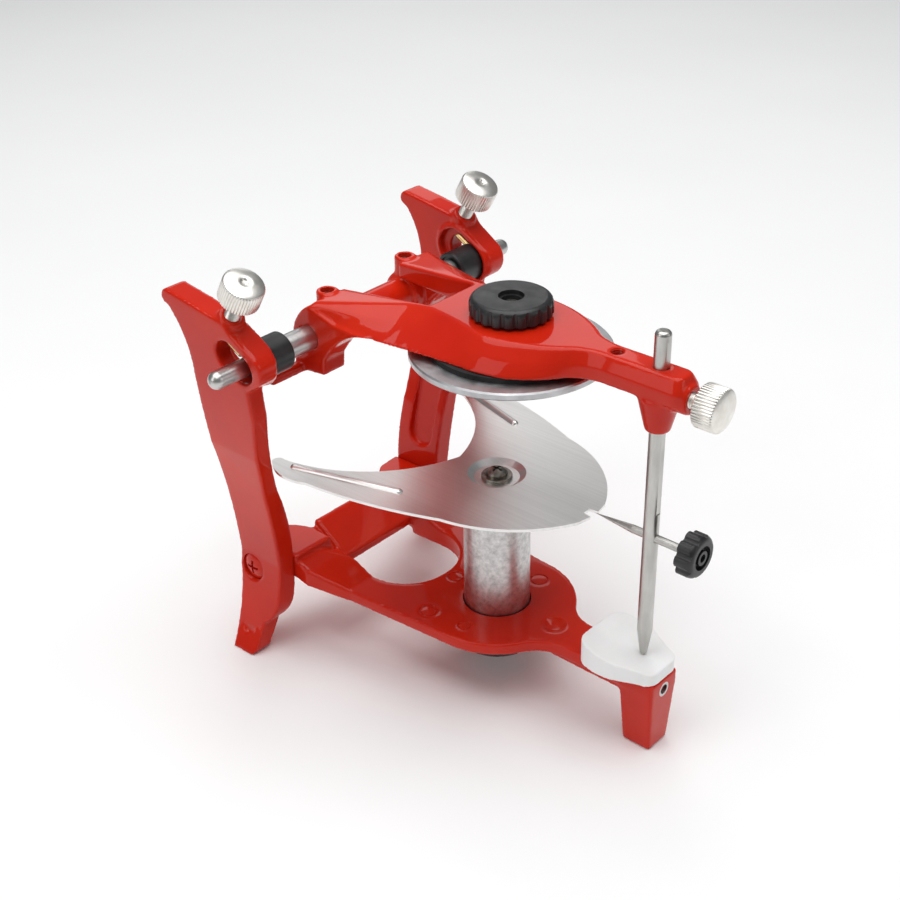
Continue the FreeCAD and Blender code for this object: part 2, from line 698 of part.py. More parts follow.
def knob_body(label, radius, height, lobes, depth, bore, recess, placement, hub=0.0):
    """Lobed grip knob, bored right through, with a round recess in its outer face."""
    body = new_body(label)
    edge = new_sketch(body, "XY_Plane")
    lobed_outline(edge, radius, depth, lobes)
    pad(body, edge, height)
    bevel = new_sketch(body, "XZ_Plane")
    add_outline(bevel, (radius + 1, height + 0.5), [
        (radius + 1, height - 2.0), (radius - 0.1, height - 2.0),
        ((radius - 0.6, height - 0.7), (radius - 2.0, height)), (radius - 2.0, height + 0.5)])
    revolve(body, bevel, cut=True)
    hollow = new_sketch(body, "XY_Plane", height)
    add_circle(hollow, 0, 0, radius=recess)
    if hub:
        add_circle(hollow, 0, 0, radius=hub)
    pocket(body, hollow, height * 0.25)
    hole = new_sketch(body, "XY_Plane", height)
    add_circle(hole, 0, 0, radius=bore)
    pocket(body, hole, height + 1)
    body.Placement = placement
    return body


def make_lower_knob():
    top = size("boss_bottom") - size("washer_thickness") - size("touch_gap")
    place = Placement(Vector(0, behind(size("column_y")), top), Rotation(Vector(1, 0, 0), 180))
    return knob_body("column_knob", size("lower_knob_r"), size("lower_knob_height"), 12, 1.3,
                     size("stud_r") + size("running_gap"), 5.4, place)


def plate_outline(sketch):
    """Outer and inner edge of the curved occlusal plate with its front notch."""
    notch_x, notch_y = 1.5, 92.2
    outer = [
        (notch_x, behind(notch_y)), (notch_x + 0.5, behind(95.3)), (7.0, behind(94.3)),
        ((21.5, behind(83.5)), (33.2, behind(59.5))),
        ((41.0, behind(36)), (45.2, behind(11))),
        ((45.0, behind(-4.5)), (42.4, behind(-8))),
        ((40.3, behind(-8.2)), (39.2, behind(-5.4))),
        ((25.5, behind(23.6)), (0, behind(38.9)))]
    add_outline(sketch, *mirrored_outline((0, behind(notch_y)), outer))


def make_plate():
    body = new_body("occlusal_plate")
    top, thick = size("plate_top"), size("plate_thickness")
    sheet_low = top - thick
    blank = new_sketch(body, "XY_Plane", sheet_low)
    plate_outline(blank)
    pad(body, blank, "sizes.plate_thickness")

    # two raised beads, half round: each is a half turn of a stadium about its own long axis
    radius = size("bead_r")
    axis_height = top + size("bead_height") - radius
    for _, side in SIDES:
        rear, front = (side * 40.3, behind(0.8)), (side * 29.6, behind(38.4))
        half = math.dist(rear, front) / 2
        heading = math.degrees(math.atan2(rear[1] - front[1], rear[0] - front[0])) - 90
        bead = new_sketch(body, "XY_Plane")
        bead.AttachmentOffset = Placement(
            Vector((rear[0] + front[0]) / 2, (rear[1] + front[1]) / 2, axis_height),
            Rotation(Vector(0, 0, 1), heading))
        bend, cap = radius * math.sqrt(0.5), 0.3
        add_outline(bead, (0, -half - radius), [
            (-cap, -half - radius), ((-bend, -half - bend), (-radius, -half)), (-radius, half),
            ((-bend, half + bend), (-cap, half + radius)), (0, half + radius)])
        revolve(body, bead, 180.0)

    # dished seat: the sheet is pressed down round the screw
    seat_low = size("column_top")
    dish = body.newObject("PartDesign::Pocket", "dish_opening")
    opening = new_sketch(body, "XY_Plane", top)
    add_circle(opening, 0, behind(size("column_y")), radius=9.8)
    dish.Profile = opening
    dish.Length = thick
    doc.recompute()
    floor = new_sketch(body, "XZ_Plane", -behind(size("column_y")))
    add_outline(floor, (size("plate_screw_r") + 0.3, seat_low), [
        (8.0, seat_low), (10.4, sheet_low), (10.4, top), (9.8, top), (7.6, seat_low + thick),
        (size("plate_screw_r") + 0.3, seat_low + thick)])
    revolve(body, floor)
    return body


def make_plate_screw():
    """Pan-head screw with a cross recess, driven into the column through the washer."""
    radius = size("plate_screw_r")
    low = size("column_top") + size("plate_thickness") + size("washer_thickness")
    body = turned_body("plate_screw", [
        (0, -12.5), (radius - 0.5, -12.5), (radius, -12), (radius, 0), (3.6, 0), (3.6, 0.9),
        ((2.2, 1.9), (0, 2.2))], upright(0, behind(size("column_y")), low))
    for half_long, half_wide in ((2.0, 0.4), (0.4, 2.0)):
        cross = new_sketch(body, "XY_Plane", 2.4)
        add_box(cross, (-half_long, -half_wide), (half_long, half_wide))
        pocket(body, cross, 1.3)
    return body


# ---------------------------------------------------------------- upper frame

def frame_section(body, height, cheeks, flare, shoulder, arm, arm_end):
    """One level of the upper frame.  Every point is a half width and a distance before the axis."""
    corner = 2.8
    inset = corner * (1 - math.sqrt(0.5))
    width = arm[1][0]
    outline = list(cheeks) + [flare, shoulder, arm, (width, arm_end - corner),
                              ((width - inset, arm_end - inset), (width - corner, arm_end)),
                              (0, arm_end)]
    steps = []
    for step in outline:
        if isinstance(step[0], tuple):
            steps.append(tuple((half, behind(distance)) for half, distance in step))
        else:
            steps.append((step[0], behind(step[1])))
    section = new_sketch(body, "XY_Plane", height)
    add_outline(section, *mirrored_outline((0, behind(cheeks[0][1])), steps))
    return section


def make_upper_frame():
    body = new_body("upper_frame")
    low, top = size("frame_bottom"), size("frame_top")
    shell = body.newObject("PartDesign::AdditiveLoft", "frame_shell")
    shell.Profile = frame_section(
        body, low, ((28.8, 1.0), (28.0, 31.0)), ((26.0, 46.0), (24.8, 62.0)),
        ((20.6, 79.0), (10.5, 89.6)), ((7.0, 94.5), (5.7, 101.0)), 127.0)
    shell.Sections = [
        frame_section(
            body, 133.0, ((28.5, 1.0), (20.6, 31.0)), ((19.8, 46.0), (21.4, 62.0)),
            ((17.6, 79.0), (9.2, 89.8)), ((6.9, 95.0), (6.3, 101.0)), 127.4),
        frame_section(
            body, top, ((20.0, 1.0), (11.6, 31.0)), ((13.2, 46.0), (17.0, 62.0)),
            ((13.4, 79.0), (6.6, 90.5)), ((4.7, 95.5), (4.1, 101.0)), 126.0)]
    shell.Ruled = True
    doc.recompute()

    # window between the wishbone arms, whose crest falls towards the ears
    window = new_sketch(body, "XY_Plane", low - 1)
    add_outline(window, (-10.4, behind(37)), [
        (10.4, behind(37)), (13.0, behind(0)), (-13.0, behind(0))])
    pocket(body, window, 12.0, reverse=True)
    crest = new_sketch(body, "YZ_Plane", -30.0)
    add_outline(crest, (behind(37), top), [(behind(-2), top + 1), (behind(-2), 133.6)])
    pocket(body, crest, 60.0, reverse=True)

    # ears with their tails, and the tube round the shaft between them
    for _, side in SIDES:
        hub = new_sketch(body, "YZ_Plane", side * size("ear_inner_x"))
        add_circle(hub, AXIS_Y, AXIS_Z, "ear_r")
        pad(body, hub, "sizes.tail_inner_x - sizes.ear_inner_x + 1", reverse=side < 0)
        ear = new_sketch(body, "YZ_Plane", side * size("tail_inner_x"))
        add_outline(ear, (behind(-7.4), 108.3), [
            (behind(-7.6), 122.5), ((behind(-5.4), 127.6), (behind(0.5), 132.8)),
            (behind(12.0), 129.4), (behind(26.2), low + 0.4),
            ((behind(16.5), 125.6), (behind(8.3), 117.6)), (behind(6.5), 115.2), (behind(6.1), 109.5)])
        pad(body, ear, "sizes.ear_outer_x - sizes.tail_inner_x", reverse=side < 0)
        lug = new_sketch(body, "YZ_Plane", side * (size("tail_inner_x") + 4))
        add_box(lug, (behind(-3.0), 108.2), (behind(-6.6), 111.6))
        pad(body, lug, 20.0, reverse=side < 0)
        boss = new_sketch(body, "XY_Plane", AXIS_Z + 6)
        add_circle(boss, side * size("set_boss_x"), behind(-size("set_boss_y")), "set_boss_r")
        pad(body, boss, "sizes.set_boss_top - sizes.condyle_z - 6")
    tube = new_sketch(body, "YZ_Plane", -size("ear_inner_x") - 1)
    add_circle(tube, AXIS_Y, AXIS_Z, "tube_r")
    pad(body, tube, "2 * sizes.ear_inner_x + 2")

    # tapered boss of the incisal pin and the rounded boss of the clamp screw
    pin_boss = new_sketch(body, "XY_Plane", 116.8)
    add_circle(pin_boss, 0, behind(size("pin_y")), radius=3.9)
    boss_root = new_sketch(body, "XY_Plane", low)
    add_circle(boss_root, 0, behind(size("pin_y")), radius=6.8)
    cone = body.newObject("PartDesign::AdditiveLoft", "pin_boss")
    cone.Profile = pin_boss
    cone.Sections = [boss_root]
    doc.recompute()
    clamp_boss = new_sketch(body, "XZ_Plane", -behind(size("pin_y")))
    add_circle(clamp_boss, 0, size("clamp_z"), radius=4.7)
    pad(body, clamp_boss, 11.4)

    # shaft bore, set screw holes, pin bore, clamp screw hole, stud hole and the hole in the arm
    bore = new_sketch(body, "YZ_Plane", 30.0)
    add_circle(bore, AXIS_Y, AXIS_Z, radius=size("shaft_r") + size("running_gap"))
    pocket(body, bore, 60.0)
    for _, side in SIDES:
        tapped = new_sketch(body, "XY_Plane", 140.0)
        add_circle(tapped, side * size("set_boss_x"), behind(-size("set_boss_y")), "set_screw_r")
        pocket(body, tapped, "140 - sizes.condyle_z")
    upright_holes = (("pin_y", size("pin_r") + size("running_gap")), ("knob_y", size("stud_r") + 0.3),
                     ("arm_hole_y", size("arm_hole_r")))
    for where, radius in upright_holes:
        hole = new_sketch(body, "XY_Plane", 142.0)
        add_circle(hole, 0, behind(size(where)), radius=radius)
        pocket(body, hole, 30.0)
    clamp_hole = new_sketch(body, "XZ_Plane", -behind(size("pin_y")))
    add_circle(clamp_hole, 0, size("clamp_z"), radius=size("screw_r") + size("running_gap"))
    pocket(body, clamp_hole, 14.0, reverse=True)
    return body


# ---------------------------------------------------------------- mounting plate, pin and pointer

def make_mounting_plate():
    """Flat disc that carries the upper cast, with the bore of its stud."""
    top, thick, outer = size("disc_top"), size("disc_thickness"), size("disc_r")
    stud = size("stud_r")
    low = top - thick
    return turned_body("mounting_plate", [
        (stud, low), (outer - 0.5, low), (outer, low + 0.5), (outer, top - 0.5), (outer - 0.5, top),
        (stud, top)], upright(0, behind(size("knob_y"))))


def make_spacer():
    low, high = size("disc_top"), size("frame_bottom")
    inner = size("stud_r") + 0.3
    return turned_body("mounting_spacer", [
        (inner, low), (size("spacer_r"), low), (size("spacer_r"), high), (inner, high)],
        upright(0, behind(size("knob_y"))))


def make_mounting_knob():
    low = size("frame_top") + size("washer_thickness") + size("touch_gap")
    return knob_body("mounting_knob", size("top_knob_r"), size("top_knob_top") - low, 20, 0.75,
                     size("stud_r") + size("running_gap"), 4.1,
                     upright(0, behind(size("knob_y")), low))


def make_pin():
    """Incisal pin with a long flat for the clamp screw, a tapered tip and the pointer's hole."""
    radius, low, high = size("pin_r"), size("pin_tip_z"), size("pin_top")
    body = turned_body("incisal_pin", [
        (0, low), (0.8, low), (1.2, low + 0.4), (radius, size("pin_taper_top")),
        (radius, high - 1.2), ((radius - 0.4, high - 0.4), (radius - 1.3, high)), (0, high)],
        upright(0, behind(size("pin_y"))))
    flat_face = new_sketch(body, "XY_Plane", high - 3)
    add_box(flat_face, (-4, -4), (4, -radius + size("pin_flat_depth")))
    pocket(body, flat_face, high - 3 - 88.0)
    hole = new_sketch(body, "XZ_Plane", -6.0)
    add_circle(hole, 0, size("pointer_z"), radius=size("pointer_r") + size("running_gap"))
    pocket(body, hole, 12.0, reverse=True)
    return body


def make_pointer():
    radius = size("pointer_r")
    length = size("pointer_knob_y") + size("pointer_knob_length") - 1.5 - size("pointer_tip_y")
    return turned_body("pointer_rod", [
        (0, 0), (radius, 15.0), (radius, length - 0.3), (radius - 0.3, length), (0, length)],
        along_minus_y(0, behind(size("pointer_tip_y")), size("pointer_z")))


def make_pointer_knob():
    return knob_body("pointer_knob", size("pointer_knob_r"), size("pointer_knob_length"), 8, 1.1,
                     size("pointer_r"), 4.0,
                     along_minus_y(0, behind(size("pointer_knob_y")), size("pointer_z")), hub=2.4)


# ---------------------------------------------------------------- build and write

def build_all():
    column_y, knob_y = behind(size("column_y")), behind(size("knob_y"))
    loose = size("stud_r") + 0.3
    parts = [
        make_lower_frame(), make_insert(), make_table(), make_column(),
        stud_body("column_stud", column_y, 12.6, 44.0),
        washer_body("column_washer", column_y, size("boss_bottom") - size("washer_thickness"), loose, 9.0),
        make_lower_knob(), make_plate(),
        washer_body("plate_washer", column_y, size("column_top") + size("plate_thickness"),
                    size("plate_screw_r") + 0.3, 5.2),
        make_plate_screw(), make_upper_frame(), make_shaft(), make_mounting_plate(), make_spacer(),
        stud_body("mounting_stud", knob_y, size("disc_top") - size("disc_thickness"), 141.4),
        washer_body("mounting_washer", knob_y, size("frame_top"), loose, 8.5),
        make_mounting_knob(), make_pin(), make_clamp_tip(), make_clamp_screw(), make_pointer(),
        make_pointer_knob(),
    ]
    for name, side in SIDES:
        parts.append(make_post(name + "_condylar_post", side))
        parts.append(make_post_screw(name + "_post_screw", side))
        parts.append(make_roller(name + "_roller", side))
        parts.append(make_set_screw(name + "_shaft_set_screw", side))
        parts.append(make_plunger(name + "_return_plunger", side))
        parts.append(make_lock_tip(name + "_lock_tip", side))
        parts.append(make_lock_screw(name + "_lock_screw", side))
    return parts


def write_all(parts):
    os.makedirs("parts", exist_ok=True)
    doc.recompute()
    for item in doc.Objects:
        if "Invalid" in item.State or "Error" in item.State:
            raise RuntimeError("%s did not compute" % item.Label)
    for body in parts:
        if body.Shape.isNull() or not body.Shape.isValid() or len(body.Shape.Solids) != 1:
            raise RuntimeError("%s is not one valid solid" % body.Label)
        body.Shape.exportStep("parts/%s.step" % body.Label)


write_all(build_all())
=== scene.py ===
import json
import math

import bpy
import bmesh
from mathutils import Euler, Matrix, Vector


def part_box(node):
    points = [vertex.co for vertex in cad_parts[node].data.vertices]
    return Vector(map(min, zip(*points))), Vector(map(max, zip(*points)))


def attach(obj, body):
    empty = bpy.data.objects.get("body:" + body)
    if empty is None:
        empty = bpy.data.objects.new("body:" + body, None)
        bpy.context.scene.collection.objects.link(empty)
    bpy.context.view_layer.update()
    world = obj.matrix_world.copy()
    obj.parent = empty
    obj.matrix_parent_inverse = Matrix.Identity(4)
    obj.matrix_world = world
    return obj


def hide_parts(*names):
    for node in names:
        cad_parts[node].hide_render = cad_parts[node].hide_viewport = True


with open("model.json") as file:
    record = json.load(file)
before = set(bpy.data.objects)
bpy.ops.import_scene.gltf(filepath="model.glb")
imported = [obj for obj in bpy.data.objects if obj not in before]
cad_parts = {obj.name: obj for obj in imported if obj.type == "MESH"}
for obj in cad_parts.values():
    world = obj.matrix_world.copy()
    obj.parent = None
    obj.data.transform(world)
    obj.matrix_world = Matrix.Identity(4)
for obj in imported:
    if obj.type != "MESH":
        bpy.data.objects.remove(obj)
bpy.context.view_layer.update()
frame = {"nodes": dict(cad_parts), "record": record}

MM = 0.001
NODES = frame["nodes"]
BODY_OF = {node: body for body, nodes in frame["record"]["behaviour"]["bodies"].items() for node in nodes}
SLOT_OF = {part["node"]: part["material_slot"] for part in frame["record"]["subparts"]}


def joint(name):
    """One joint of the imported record."""
    return [item for item in frame["record"]["behaviour"]["joints"] if item["name"] == name][0]


def centre(node):
    low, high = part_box(node)
    return (low + high) / 2


# ---------------------------------------------------------------- material building blocks

class Shader:
    """A material with a Principled shader and short calls for the nodes that feed it."""

    def __init__(self, name, colour, roughness, metallic=0.0, **sockets):
        self.material = bpy.data.materials.new(name)
        self.material.use_nodes = True
        self.tree = self.material.node_tree
        self.main = self.tree.nodes["Principled BSDF"]
        self.main.inputs["Base Color"].default_value = (*colour, 1)
        self.main.inputs["Roughness"].default_value = roughness
        self.main.inputs["Metallic"].default_value = metallic
        for socket, value in sockets.items():
            self.main.inputs[socket.replace("_", " ")].default_value = value
        self.bump_chain = None

    def node(self, kind, **settings):
        made = self.tree.nodes.new(kind)
        for key, value in settings.items():
            setattr(made, key, value)
        return made

    def link(self, output, target):
        self.tree.links.new(output, target)

    def place(self, scale=(1, 1, 1), turn=(0, 0, 0), offset=(0, 0, 0)):
        """Object coordinates, scaled, turned and moved."""
        mapping = self.node("ShaderNodeMapping")
        mapping.inputs["Scale"].default_value = scale
        mapping.inputs["Rotation"].default_value = turn
        mapping.inputs["Location"].default_value = offset
        self.link(self.node("ShaderNodeTexCoord").outputs["Object"], mapping.inputs["Vector"])
        return mapping.outputs["Vector"]

    def noise(self, scale, detail, rough=0.55, where=None):
        made = self.node("ShaderNodeTexNoise")
        made.inputs["Scale"].default_value = scale
        made.inputs["Detail"].default_value = detail
        made.inputs["Roughness"].default_value = rough
        self.link(where or self.place(), made.inputs["Vector"])
        return made.outputs["Fac"]

    def cells(self, scale):
        made = self.node("ShaderNodeTexVoronoi")
        made.inputs["Scale"].default_value = scale
        self.link(self.place(), made.inputs["Vector"])
        return made.outputs["Distance"]

    def spread(self, value, low, high, low_out, high_out):
        """Maps a value's range onto another, with no overshoot."""
        made = self.node("ShaderNodeMapRange")
        for key, number in (("From Min", low), ("From Max", high), ("To Min", low_out), ("To Max", high_out)):
            made.inputs[key].default_value = number
        self.link(value, made.inputs["Value"])
        return made.outputs["Result"]

    def colour(self, factor, *stops):
        """Base colour from a ramp of (position, colour) stops."""
        ramp = self.node("ShaderNodeValToRGB")
        elements = ramp.color_ramp.elements
        for index, (position, rgb) in enumerate(stops):
            stop = elements[index] if index < 2 else elements.new(position)
            stop.position = position
            stop.color = (*rgb, 1)
        self.link(factor, ramp.inputs["Fac"])
        self.link(ramp.outputs["Color"], self.main.inputs["Base Color"])
        return self

    def roughness(self, factor, low, high):
        self.link(self.spread(factor, 0.25, 0.75, low, high), self.main.inputs["Roughness"])
        return self

    def bump(self, height, depth_mm, strength=1.0):
        made = self.node("ShaderNodeBump")
        made.inputs["Distance"].default_value = depth_mm * MM
        made.inputs["Strength"].default_value = strength
        self.link(height, made.inputs["Height"])
        if self.bump_chain:
            self.link(self.bump_chain, made.inputs["Normal"])
        self.bump_chain = made.outputs["Normal"]
        self.link(self.bump_chain, self.main.inputs["Normal"])
        return self

    def radius(self, x, y):
        """Distance from an upright axis, for turned faces."""
        made = self.node("ShaderNodeVectorMath", operation="LENGTH")
        self.link(self.place(scale=(1, 1, 0), offset=(-x, -y, 0)), made.inputs[0])
        return made.outputs["Value"]


def red_enamel():
    shader = Shader("red_enamel", (0.58, 0.016, 0.004), 0.42, Coat_Weight=0.8, Coat_Roughness=0.04,
                    Coat_IOR=1.36, Specular_IOR_Level=0.04)
    shader.colour(shader.noise(30, 3), (0.30, (0.54, 0.012, 0.003)), (0.70, (0.64, 0.021, 0.004)))
    shader.roughness(shader.noise(120, 5), 0.36, 0.50)
    shader.bump(shader.noise(420, 2), 0.012)
    return shader.bump(shader.noise(75, 2), 0.05).material


def black_plastic():
    shader = Shader("black_plastic", (0.012, 0.012, 0.013), 0.38, Specular_IOR_Level=0.5)
    shader.colour(shader.noise(160, 4), (0.3, (0.008, 0.008, 0.009)), (0.7, (0.022, 0.022, 0.024)))
    shader.roughness(shader.noise(300, 4), 0.28, 0.46)
    return shader.bump(shader.noise(2600, 3), 0.012).material


def black_rubber():
    shader = Shader("black_rubber", (0.014, 0.014, 0.015), 0.72, Specular_IOR_Level=0.3)
    shader.colour(shader.noise(240, 5), (0.3, (0.009, 0.009, 0.010)), (0.7, (0.028, 0.028, 0.029)))
    return shader.bump(shader.noise(1800, 4), 0.05).material


def nickel_plate():
    shader = Shader("nickel_plate", (0.80, 0.77, 0.72), 0.22, 1.0)
    shader.colour(shader.noise(260, 4), (0.3, (0.74, 0.71, 0.66)), (0.7, (0.88, 0.86, 0.81)))
    shader.roughness(shader.noise(420, 5), 0.28, 0.38)
    return shader.bump(shader.noise(3200, 2), 0.005).material


def turned_steel():
    shader = Shader("turned_steel", (0.56, 0.56, 0.56), 0.30, 1.0)
    shader.colour(shader.noise(170, 5), (0.28, (0.52, 0.51, 0.50)), (0.72, (0.64, 0.63, 0.62)))
    shader.roughness(shader.noise(300, 5), 0.28, 0.36)
    return shader.bump(shader.noise(1.0, 3, where=shader.place(scale=(3400, 30, 30))), 0.012).material


def satin_steel():
    shader = Shader("satin_steel", (0.55, 0.54, 0.52), 0.30, 1.0)
    shader.colour(shader.noise(1.0, 5, where=shader.place(scale=(300, 300, 70))),
                  (0.28, (0.42, 0.41, 0.39)), (0.72, (0.58, 0.57, 0.54)))
    shader.roughness(shader.noise(260, 5), 0.28, 0.36)
    return shader.bump(shader.noise(1.0, 2, where=shader.place(scale=(60, 60, 3200))), 0.010).material


def sheet_steel():
    shader = Shader("sheet_steel", (0.80, 0.785, 0.77), 0.30, 1.0)
    brushed = (0, 0, 0.5)
    shader.colour(shader.noise(1.0, 3, where=shader.place(scale=(1100, 16, 16), turn=brushed)),
                  (0.30, (0.77, 0.755, 0.74)), (0.70, (0.84, 0.825, 0.81)))
    shader.roughness(shader.noise(1.0, 2, where=shader.place(scale=(700, 12, 12), turn=brushed)), 0.29, 0.37)
    return shader.bump(shader.noise(10, 1), 0.02).material


def dark_screw():
    shader = Shader("dark_screw", (0.25, 0.235, 0.21), 0.34, 1.0)
    shader.colour(shader.noise(520, 5), (0.3, (0.16, 0.145, 0.13)), (0.7, (0.42, 0.39, 0.34)))
    return shader.bump(shader.noise(2400, 3), 0.012).material


def brass():
    shader = Shader("brass", (0.78, 0.54, 0.24), 0.26, 1.0)
    shader.colour(shader.noise(420, 4), (0.3, (0.60, 0.39, 0.15)), (0.7, (0.86, 0.64, 0.32)))
    return shader.bump(shader.noise(1900, 2), 0.010).material


def grey_aluminium():
    shader = Shader("grey_aluminium", (0.50, 0.50, 0.51), 0.40, 1.0)
    shader.colour(shader.noise(150, 6), (0.28, (0.42, 0.42, 0.43)), (0.72, (0.62, 0.62, 0.63)))
    shader.roughness(shader.noise(240, 5), 0.30, 0.48)
    middle = centre("mounting_plate")
    rings = shader.node("ShaderNodeTexNoise", noise_dimensions="1D")
    rings.inputs["Scale"].default_value = 1700
    shader.link(shader.radius(middle.x, middle.y), rings.inputs["W"])
    shader.bump(rings.outputs["Fac"], 0.012)
    return shader.bump(shader.noise(900, 4), 0.012).material


def cast_aluminium():
    shader = Shader("cast_aluminium", (0.55, 0.545, 0.54), 0.34, 1.0)
    shader.colour(shader.noise(520, 6, 0.66),
                  (0.32, (0.40, 0.395, 0.39)), (0.68, (0.70, 0.69, 0.68)), (0.50, (0.56, 0.55, 0.545)))
    shader.roughness(shader.noise(420, 5), 0.29, 0.40)
    shader.bump(shader.noise(640, 4, 0.55), 0.02)
    return shader.bump(shader.cells(700), 0.012).material


def white_plastic():
    shader = Shader("white_plastic", (0.92, 0.92, 0.91), 0.62, Subsurface_Weight=0.12)
    shader.main.inputs["Subsurface Scale"].default_value = 0.002
    shader.colour(shader.noise(110, 4), (0.3, (0.91, 0.91, 0.90)), (0.7, (0.96, 0.96, 0.955)))
    return shader.bump(shader.noise(1500, 4), 0.02).material


MATERIALS = {make.__name__: make() for make in (
    red_enamel, black_plastic, black_rubber, nickel_plate, turned_steel, satin_steel, sheet_steel,
    dark_screw, brass, grey_aluminium, cast_aluminium, white_plastic)}


# ---------------------------------------------------------------- piece building blocks

UP, RIGHT, FORWARD = (0, 0, 1), (1, 0, 0), (0, -1, 0)
KNOB_EDGE, FINE_EDGE = 0.3, 0.15
REBUILT = set()


def show(piece, node):
    """Puts a new piece on the body of the node that it stands for, in the node's material."""
    slot = SLOT_OF[node]
    piece.data.materials.clear()
    piece.data.materials.append(MATERIALS[slot])
    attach(piece, BODY_OF[node])
    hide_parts(node)
    REBUILT.add(node)


def soften_edges(piece, width_mm):
    bevel = piece.modifiers.new("edge_round", "BEVEL")
    bevel.width = width_mm * MM
    bevel.segments = 2
    bevel.limit_method = "ANGLE"
    bevel.angle_limit = math.radians(35.0)


def smooth_faces(mesh, angle=38.0):
    mesh.shade_smooth()
    mesh.set_sharp_from_angle(angle=math.radians(angle))


def axis_frame(origin, axis):
    """Matrix that puts local +Z on an axis."""
    turn = Vector(axis).normalized().to_track_quat("Z", "Y").to_matrix().to_4x4()
    return Matrix.Translation(Vector(origin)) @ turn


def turned(name, origin, axis, profile, sides=128, wave=None, closed=False):
    """A turned piece.  The profile holds (radius, height, depth of the edge pattern) in millimetres."""
    mesh = bmesh.new()
    rings = []
    for radius, height, depth in profile:
        if radius == 0:
            rings.append([mesh.verts.new((0, 0, height * MM))])
            continue
        ring = []
        for side in range(sides):
            angle = 2 * math.pi * side / sides
            reach = MM * (radius - (depth * wave(angle) if wave and depth else 0))
            ring.append(mesh.verts.new((reach * math.cos(angle), reach * math.sin(angle), height * MM)))
        rings.append(ring)
    pairs = list(zip(rings, rings[1:])) + ([(rings[-1], rings[0])] if closed else [])
    for lower, upper in pairs:
        for side in range(sides):
            after = (side + 1) % sides
            corners = []
            for ring, index in ((lower, side), (lower, after), (upper, after), (upper, side)):
                vertex = ring[index] if len(ring) > 1 else ring[0]
                if vertex not in corners:
                    corners.append(vertex)
            if len(corners) > 2:
                mesh.faces.new(corners)
    bmesh.ops.recalc_face_normals(mesh, faces=mesh.faces)
    data = bpy.data.meshes.new(name)
    mesh.to_mesh(data)
    mesh.free()
    data.transform(axis_frame(origin, axis))
    smooth_faces(data)
    piece = bpy.data.objects.new(name, data)
    bpy.context.collection.objects.link(piece)
    return piece


THREAD_DEPTH, THREAD_PITCH = 0.3, 0.8


def thread(crest, low, high):
    """Profile of a row of thread grooves on a shank, from low to high."""
    profile = []
    height = low
    while height < high - THREAD_PITCH / 2:
        profile += [(crest, height, 0), (crest - THREAD_DEPTH, height + THREAD_PITCH / 2, 0)]
        height += THREAD_PITCH
    return profile + [(crest, height, 0)]


class Hole:
    """A round hole that is filled before a casting is rounded over, and cut crisply afterwards.

    The plugged and the cut stretch run along the axis, in millimetres from the origin."""

    PLUG_OVERLAP = 0.15

    def __init__(self, origin, axis, radius, filled, cut, threaded=False):
        self.origin, self.axis, self.radius = origin, axis, radius
        self.filled, self.cut, self.threaded = filled, cut, threaded

    def plug(self):
        low, high = self.filled
        radius = self.radius + self.PLUG_OVERLAP
        return turned("plug", self.origin, self.axis,
                      [(0, low, 0), (radius, low, 0), (radius, high, 0), (0, high, 0)], sides=48)

    def cutter(self):
        """The hole itself; a thread is a row of grooves in its wall."""
        low, high = self.cut
        profile = [(0, low, 0), (self.radius, low, 0)]
        if self.threaded:
            profile += thread(self.radius + THREAD_DEPTH, low + THREAD_PITCH, high - THREAD_PITCH)
        profile += [(self.radius, high, 0), (0, high, 0)]
        return turned("cutter", self.origin, self.axis, profile, sides=96)


class Ring:
    """A shallow round groove, like the marks that ejector pins leave in a casting."""

    DEPTH, SLOPE = 0.35, 0.2

    def __init__(self, origin, outer, inner):
        self.origin, self.outer, self.inner = origin, outer, inner

    def cutter(self):
        return turned("cutter", self.origin, UP, [
            (self.inner, 1, 0), (self.inner, 0, 0), (self.inner + self.SLOPE, -self.DEPTH, 0),
            (self.outer - self.SLOPE, -self.DEPTH, 0), (self.outer, 0, 0), (self.outer, 1, 0)],
            sides=64, closed=True)


def baked(piece):
    """The piece's mesh with its modifiers applied."""
    bpy.context.view_layer.update()
    graph = bpy.context.evaluated_depsgraph_get()
    mesh = bpy.data.meshes.new_from_object(piece.evaluated_get(graph))
    piece.modifiers.clear()
    piece.data = mesh
    return mesh


def joined(name, tools):
    """One temporary object out of several."""
    whole = bmesh.new()
    for tool in tools:
        whole.from_mesh(tool.data)
        bpy.data.objects.remove(tool)
    data = bpy.data.meshes.new(name)
    whole.to_mesh(data)
    whole.free()
    made = bpy.data.objects.new(name, data)
    bpy.context.collection.objects.link(made)
    return made


SKIN_TILT = Euler((0.50, 0.37, 0.61)).to_matrix().to_4x4()


def casting(node, voxel_mm, passes, holes=(), marks=()):
    """A cast copy of a CAD node, in the node's own material: its edges and inner corners are rounded over.

    The new skin is made on a tilted grid, which keeps long straight edges free of steps."""
    solid = bpy.data.objects.new("solid", NODES[node].data.copy())
    solid.data.transform(NODES[node].matrix_world)
    piece = joined(node + "_casting", [solid] + [hole.plug() for hole in holes])
    piece.data.transform(SKIN_TILT)
    remesh = piece.modifiers.new("skin", "REMESH")
    remesh.mode = "VOXEL"
    remesh.voxel_size = voxel_mm * MM
    smooth = piece.modifiers.new("round_over", "SMOOTH")
    smooth.factor = 0.5
    smooth.iterations = passes
    baked(piece).transform(SKIN_TILT.inverted())
    cutters = [item.cutter() for item in list(holes) + list(marks)]
    if cutters:
        tool = joined("tool", cutters)
        cut = piece.modifiers.new("cut", "BOOLEAN")
        cut.operation = "DIFFERENCE"
        cut.solver = "EXACT"
        cut.object = tool
        baked(piece)
        bpy.data.objects.remove(tool)
    smooth_faces(piece.data, 45.0)
    show(piece, node)


